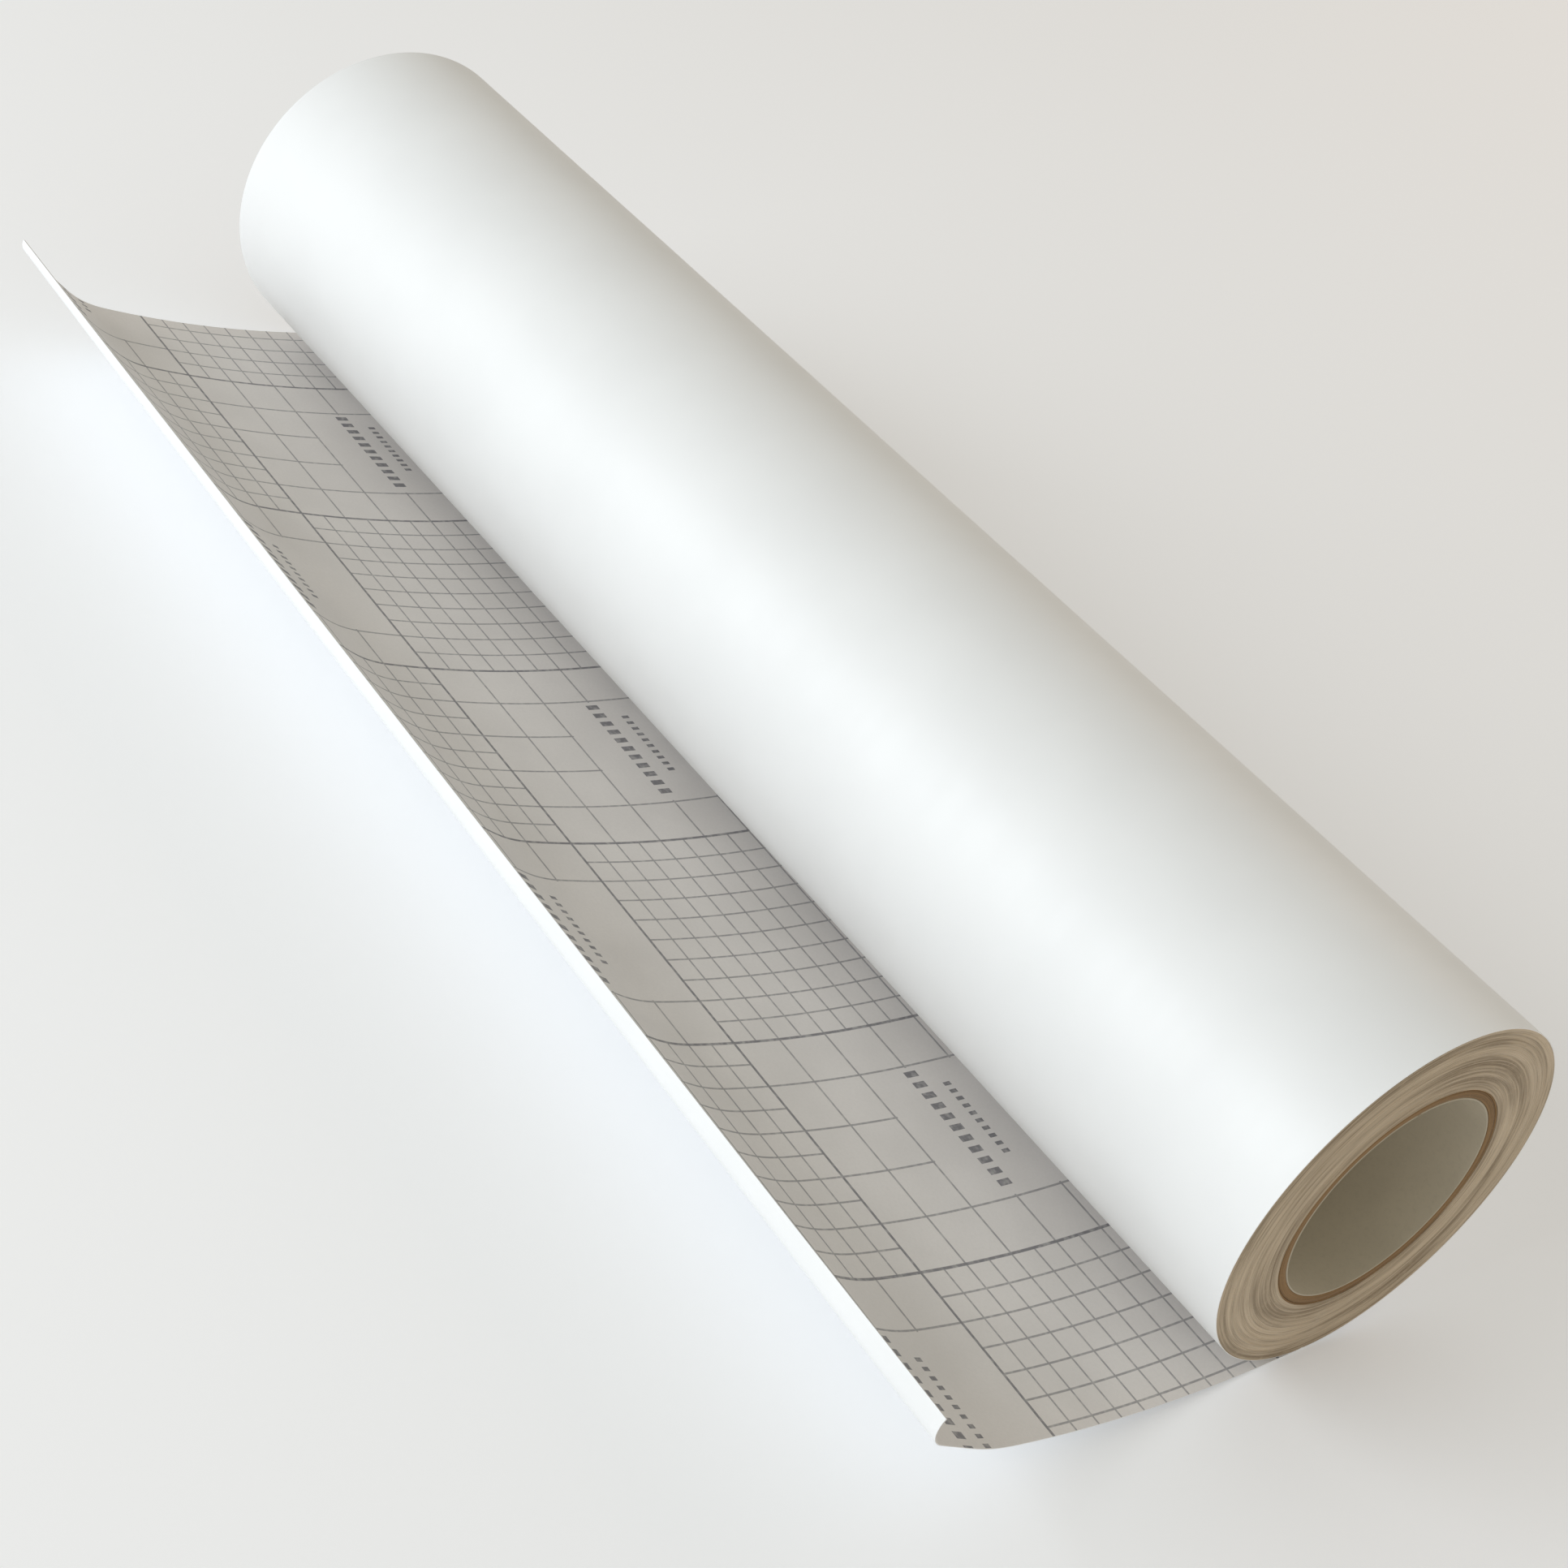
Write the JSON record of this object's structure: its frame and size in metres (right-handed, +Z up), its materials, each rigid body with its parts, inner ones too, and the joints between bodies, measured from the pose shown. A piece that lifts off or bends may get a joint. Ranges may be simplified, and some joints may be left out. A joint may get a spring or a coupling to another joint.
{
  "type": "roll of sign vinyl",
  "caption": "Self-adhesive vinyl web with a printed paper liner, wound film side out on a paper core, with its free end unrolled and curling up",
  "frame": {"origin": "middle of the footprint, on the surface that the roll lies on", "axes": "+X along the core, +Z up, and the tail leaves the bottom of the roll towards -Y"},
  "size_m": [0.61, 0.2296, 0.1299],
  "materials": {
    "film": "semi-gloss",
    "adhesive": "clear, tacky, glossy over white film",
    "liner": "smooth siliconised paper with a printed grid",
    "wound_web": "slit edges of many turns, matt",
    "core_board": "matt kraft paper plies",
    "starter_tape": "double-sided tape, matt"
  },
  "bodies": {
    "roll": {"core_inner_ply": "core_board", "core_body_plies": "core_board", "core_outer_ply": "core_board", "starter_tape": "starter_tape", "wound_web": "wound_web", "liner_outer_turn": "liner", "adhesive_outer_turn": "adhesive", "film_outer_turn": "film", "liner_tail_start": "liner", "adhesive_tail_start": "adhesive", "film_tail_start": "film"},
    "tail_1": {"film_tail_1": "film", "adhesive_tail_1": "adhesive", "liner_tail_1": "liner"},
    "tail_2": {"film_tail_2": "film", "adhesive_tail_2": "adhesive", "liner_tail_2": "liner"},
    "tail_3": {"film_tail_3": "film", "adhesive_tail_3": "adhesive", "liner_tail_3": "liner"},
    "tail_edge": {"film_tail_edge": "film", "adhesive_tail_edge": "adhesive", "liner_tail_edge": "liner"},
    "liner_flap": {"liner_flap": "liner"}
  },
  "joints": [
    {"name": "tail_bend_1", "type": "hinge", "parent": "roll", "child": "tail_1", "pos_m": [0, 0.01769, 0], "axis": [-1, 0, 0], "range_deg": [-7, 14], "stiffness_Nm_per_rad": 0.075, "springref_deg": 10.94},
    {"name": "tail_bend_2", "type": "hinge", "parent": "tail_1", "child": "tail_2", "pos_m": [0, -0.02201, 0.00487], "axis": [-1, 0, 0], "range_deg": [-5, 10], "stiffness_Nm_per_rad": 0.075, "springref_deg": 5.56},
    {"name": "tail_bend_3", "type": "hinge", "parent": "tail_2", "child": "tail_3", "pos_m": [0, -0.05722, 0.01236], "axis": [-1, 0, 0], "range_deg": [-9, 18], "stiffness_Nm_per_rad": 0.075, "springref_deg": 2.25},
    {"name": "tail_curl", "type": "hinge", "parent": "tail_3", "child": "tail_edge", "pos_m": [0, -0.0941, 0.02652], "axis": [-1, 0, 0], "range_deg": [-21, 42], "stiffness_Nm_per_rad": 0.01, "springref_deg": 2.39},
    {"name": "liner_peel", "type": "hinge", "parent": "tail_edge", "child": "liner_flap", "pos_m": [0, -0.10136, 0.0334], "axis": [-1, 0, 0], "range_deg": [0, 90]}
  ],
  "couplings": [
    {"joint": "tail_bend_1", "follows": "tail_curl", "ratio": 0.33333},
    {"joint": "tail_bend_2", "follows": "tail_curl", "ratio": 0.2381},
    {"joint": "tail_bend_3", "follows": "tail_curl", "ratio": 0.42857}
  ]
}
